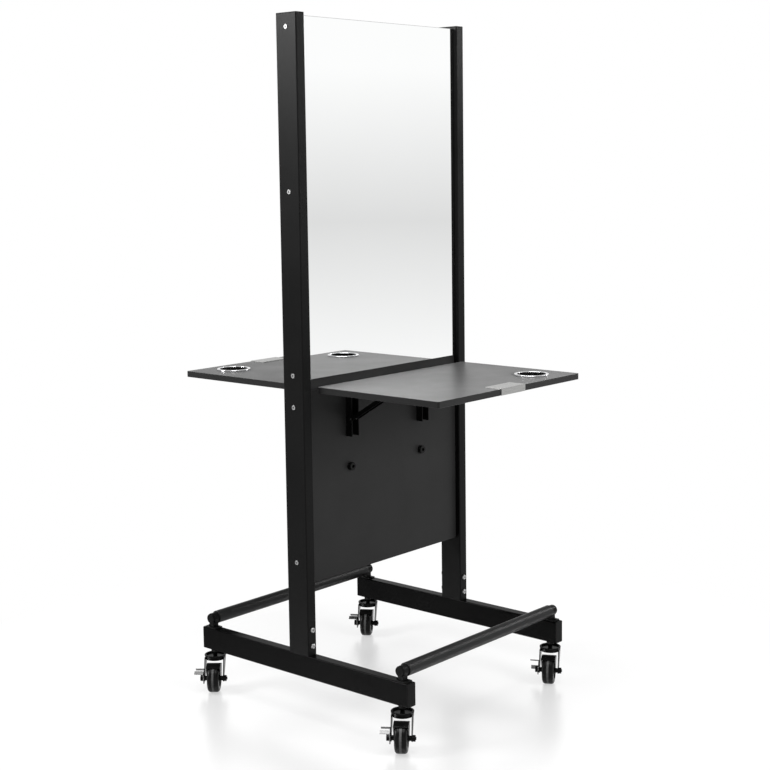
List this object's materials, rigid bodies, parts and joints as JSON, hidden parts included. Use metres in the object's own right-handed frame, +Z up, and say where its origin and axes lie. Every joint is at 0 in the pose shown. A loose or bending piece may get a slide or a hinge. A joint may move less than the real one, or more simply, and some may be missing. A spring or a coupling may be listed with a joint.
{
  "type": "double sided salon station",
  "caption": "Rolling salon station with a tall mirror on both faces, fold-down trays with tool rings, footrest bars and braked swivel casters on a tube frame.",
  "frame": {"origin": "on the floor, midway between the posts and midway between the front and rear trays", "axes": "+X to the right seen from the front, the front faces -Y, +Z up"},
  "size_m": [0.7313, 0.893, 1.8],
  "materials": {
    "black_steel": "matte black powder coat",
    "black_board": "matte black laminate on board",
    "black_plastic": "moulded",
    "sleeve_plastic": "gloss moulded",
    "black_rubber": "moulded",
    "footrest_grip": "satin sleeve",
    "mirror_glass": "silvered glass",
    "zinc": "zinc plated",
    "black_fastener": "black oxide",
    "chrome": "polished",
    "brushed_plate": "brushed",
    "caster_steel": "gloss black",
    "wheel_hub": "moulded",
    "wheel_tread": "satin tread"
  },
  "bodies": {
    "root": {"left_base_beam": "black_steel", "right_base_beam": "black_steel", "left_post": "black_steel", "right_post": "black_steel", "post_spigots": "black_steel", "tube_end_caps": "black_plastic", "post_foot_bolts": "zinc", "frame_nuts": "black_fastener", "mirror_core_board": "black_board", "front_mirror_glass": "mirror_glass", "rear_mirror_glass": "mirror_glass", "lower_panel": "black_board", "post_screws": "zinc", "bracket_wall_legs": "black_steel", "bracket_pins": "zinc", "bumper_pegs": "black_rubber", "pan_head_screws": "black_fastener", "footrest_pipes": "black_steel", "footrest_sleeves": "footrest_grip", "footrest_stands": "black_steel", "footrest_end_caps": "black_plastic", "caster_stems": "caster_steel"},
    "front_tray": {"front_tray_board": "black_board", "front_tool_ring": "chrome", "front_edge_plate": "brushed_plate", "front_bracket_arms": "black_steel", "front_tray_screws": "zinc", "front_ring_sleeve": "sleeve_plastic"},
    "front_brace_pair": {"front_braces": "black_steel"},
    "rear_tray": {"rear_tray_board": "black_board", "rear_tool_ring": "chrome", "rear_edge_plate": "brushed_plate", "rear_bracket_arms": "black_steel", "rear_tray_screws": "zinc", "rear_ring_sleeve": "sleeve_plastic"},
    "rear_brace_pair": {"rear_braces": "black_steel"},
    "front_left_fork": {"front_left_caster_fork": "caster_steel", "front_left_wheel_guard": "caster_steel", "front_left_axle": "caster_steel"},
    "front_left_wheel": {"front_left_wheel_hub": "wheel_hub", "front_left_tyre": "wheel_tread"},
    "front_left_lever": {"front_left_brake_lever": "zinc"},
    "front_right_fork": {"front_right_caster_fork": "caster_steel", "front_right_wheel_guard": "caster_steel", "front_right_axle": "caster_steel"},
    "front_right_wheel": {"front_right_wheel_hub": "wheel_hub", "front_right_tyre": "wheel_tread"},
    "front_right_lever": {"front_right_brake_lever": "zinc"},
    "rear_left_fork": {"rear_left_caster_fork": "caster_steel", "rear_left_wheel_guard": "caster_steel", "rear_left_axle": "caster_steel"},
    "rear_left_wheel": {"rear_left_wheel_hub": "wheel_hub", "rear_left_tyre": "wheel_tread"},
    "rear_left_lever": {"rear_left_brake_lever": "zinc"},
    "rear_right_fork": {"rear_right_caster_fork": "caster_steel", "rear_right_wheel_guard": "caster_steel", "rear_right_axle": "caster_steel"},
    "rear_right_wheel": {"rear_right_wheel_hub": "wheel_hub", "rear_right_tyre": "wheel_tread"},
    "rear_right_lever": {"rear_right_brake_lever": "zinc"}
  },
  "joints": [
    {"name": "front_tray_fold", "type": "hinge", "parent": "root", "child": "front_tray", "pos_m": [0, -0.0325, 0.841], "axis": [1, 0, 0], "range_deg": [0, 90]},
    {"name": "front_brace_swing", "type": "hinge", "parent": "root", "child": "front_brace_pair", "pos_m": [0, -0.037, 0.767], "axis": [1, 0, 0], "range_deg": [0, 121.59]},
    {"name": "rear_tray_fold", "type": "hinge", "parent": "root", "child": "rear_tray", "pos_m": [0, 0.0325, 0.841], "axis": [-1, 0, 0], "range_deg": [0, 90]},
    {"name": "rear_brace_swing", "type": "hinge", "parent": "root", "child": "rear_brace_pair", "pos_m": [0, 0.037, 0.767], "axis": [-1, 0, 0], "range_deg": [0, 121.59]},
    {"name": "front_left_swivel", "type": "hinge", "parent": "root", "child": "front_left_fork", "pos_m": [-0.315, -0.338, 0.085], "axis": [0, 0, 1], "continuous": true},
    {"name": "front_left_wheel_spin", "type": "hinge", "parent": "front_left_fork", "child": "front_left_wheel", "pos_m": [-0.33875, -0.35463, 0.0375], "axis": [0.5736, -0.8192, 0], "continuous": true},
    {"name": "front_left_brake", "type": "hinge", "parent": "front_left_fork", "child": "front_left_lever", "pos_m": [-0.33875, -0.35463, 0.0375], "axis": [-0.5736, 0.8192, 0], "range_deg": [0, 60]},
    {"name": "front_right_swivel", "type": "hinge", "parent": "root", "child": "front_right_fork", "pos_m": [0.315, -0.338, 0.085], "axis": [0, 0, 1], "continuous": true},
    {"name": "front_right_wheel_spin", "type": "hinge", "parent": "front_right_fork", "child": "front_right_wheel", "pos_m": [0.2894, -0.35162, 0.0375], "axis": [0.4695, -0.8829, 0], "continuous": true},
    {"name": "front_right_brake", "type": "hinge", "parent": "front_right_fork", "child": "front_right_lever", "pos_m": [0.2894, -0.35162, 0.0375], "axis": [-0.4695, 0.8829, 0], "range_deg": [-60, 0]},
    {"name": "rear_left_swivel", "type": "hinge", "parent": "root", "child": "rear_left_fork", "pos_m": [-0.315, 0.338, 0.085], "axis": [0, 0, 1], "continuous": true},
    {"name": "rear_left_wheel_spin", "type": "hinge", "parent": "rear_left_fork", "child": "rear_left_wheel", "pos_m": [-0.33754, 0.31975, 0.0375], "axis": [0.6293, -0.7771, 0], "continuous": true},
    {"name": "rear_left_brake", "type": "hinge", "parent": "rear_left_fork", "child": "rear_left_lever", "pos_m": [-0.33754, 0.31975, 0.0375], "axis": [-0.6293, 0.7771, 0], "range_deg": [0, 60]},
    {"name": "rear_right_swivel", "type": "hinge", "parent": "root", "child": "rear_right_fork", "pos_m": [0.315, 0.338, 0.085], "axis": [0, 0, 1], "continuous": true},
    {"name": "rear_right_wheel_spin", "type": "hinge", "parent": "rear_right_fork", "child": "rear_right_wheel", "pos_m": [0.29068, 0.32221, 0.0375], "axis": [0.5446, -0.8387, 0], "continuous": true},
    {"name": "rear_right_brake", "type": "hinge", "parent": "rear_right_fork", "child": "rear_right_lever", "pos_m": [0.29068, 0.32221, 0.0375], "axis": [-0.5446, 0.8387, 0], "range_deg": [0, 60]}
  ],
  "couplings": [
    {"joint": "front_brace_swing", "follows": "front_tray_fold", "ratio": 1.3455},
    {"joint": "rear_brace_swing", "follows": "rear_tray_fold", "ratio": 1.3455}
  ]
}
